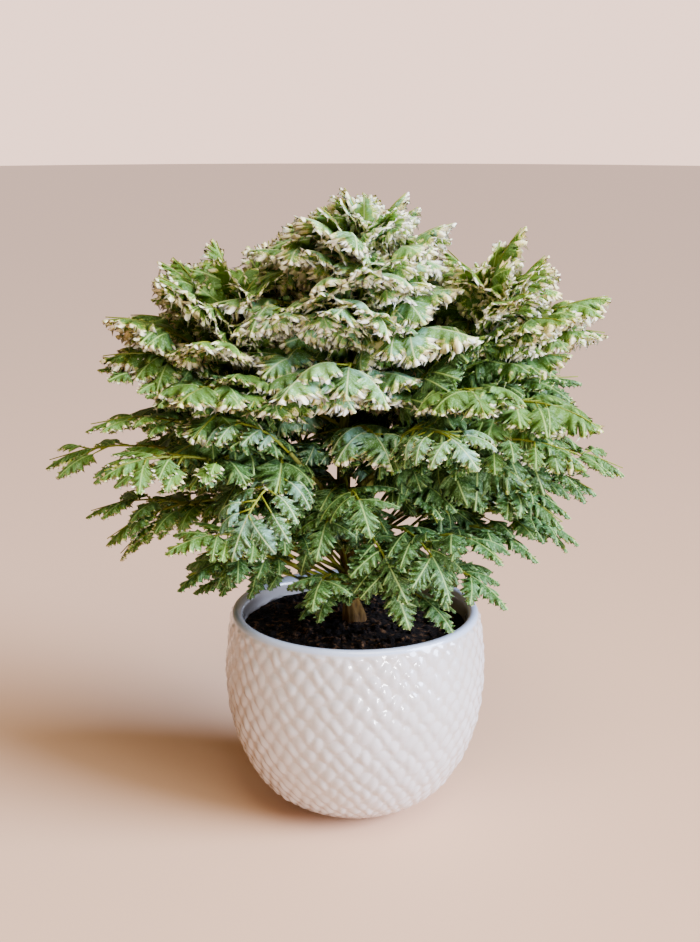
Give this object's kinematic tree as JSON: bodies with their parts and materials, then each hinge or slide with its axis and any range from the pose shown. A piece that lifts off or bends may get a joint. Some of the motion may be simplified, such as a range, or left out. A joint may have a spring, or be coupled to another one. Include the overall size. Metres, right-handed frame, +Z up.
{
  "type": "potted frosty fern",
  "caption": "Lacy variegated fern with cream-tipped fronds on branching stems, growing in a round white pot with a raised scale pattern.",
  "frame": {"origin": "centre of the pot's flat foot, on the surface that it stands on", "axes": "+Z up through the pot's mouth, +X to the right and -Y towards the viewer in the picture"},
  "size_m": [0.2842, 0.1877, 0.3027],
  "materials": {
    "white_glaze": "gloss",
    "potting_soil": "matte",
    "bark": "matte",
    "frosted_frond": "satin",
    "green_frond": "satin"
  },
  "bodies": {
    "root": {"backLeft_frond_1": "green_frond", "backLeft_frond_2": "green_frond", "backLeft_frond_3": "green_frond", "backLeft_frond_4": "green_frond", "backRight_frond_1": "green_frond", "backRight_frond_2": "green_frond", "backRight_frond_3": "green_frond", "back_frond_1": "frosted_frond", "back_frond_2": "frosted_frond", "back_frond_3": "frosted_frond", "frontLeft_frond_1": "frosted_frond", "frontLeft_frond_2": "frosted_frond", "frontRight_frond_1": "frosted_frond", "left_frond_1": "green_frond", "left_frond_2": "green_frond", "left_frond_3": "green_frond", "left_frond_4": "green_frond", "left_frond_5": "green_frond", "left_frond_6": "green_frond", "left_frond_7": "green_frond", "low_frond_1": "green_frond", "low_frond_10": "green_frond", "low_frond_11": "green_frond", "low_frond_2": "green_frond", "low_frond_3": "green_frond", "low_frond_4": "green_frond", "low_frond_5": "green_frond", "low_frond_6": "green_frond", "low_frond_7": "green_frond", "low_frond_8": "green_frond", "low_frond_9": "green_frond", "main_frond_1": "frosted_frond", "main_frond_10": "frosted_frond", "main_frond_11": "frosted_frond", "main_frond_12": "frosted_frond", "main_frond_13": "frosted_frond", "main_frond_14": "frosted_frond", "main_frond_15": "frosted_frond", "main_frond_16": "frosted_frond", "main_frond_17": "frosted_frond", "main_frond_18": "frosted_frond", "main_frond_19": "frosted_frond", "main_frond_2": "frosted_frond", "main_frond_3": "frosted_frond", "main_frond_4": "frosted_frond", "main_frond_5": "frosted_frond", "main_frond_6": "frosted_frond", "main_frond_7": "frosted_frond", "main_frond_8": "frosted_frond", "main_frond_9": "frosted_frond", "pot": "white_glaze", "right_frond_1": "green_frond", "right_frond_2": "green_frond", "right_frond_3": "green_frond", "right_frond_4": "green_frond", "right_frond_5": "green_frond", "right_frond_6": "green_frond", "right_frond_7": "green_frond", "soil": "potting_soil", "stems": "bark"}
  },
  "joints": []
}
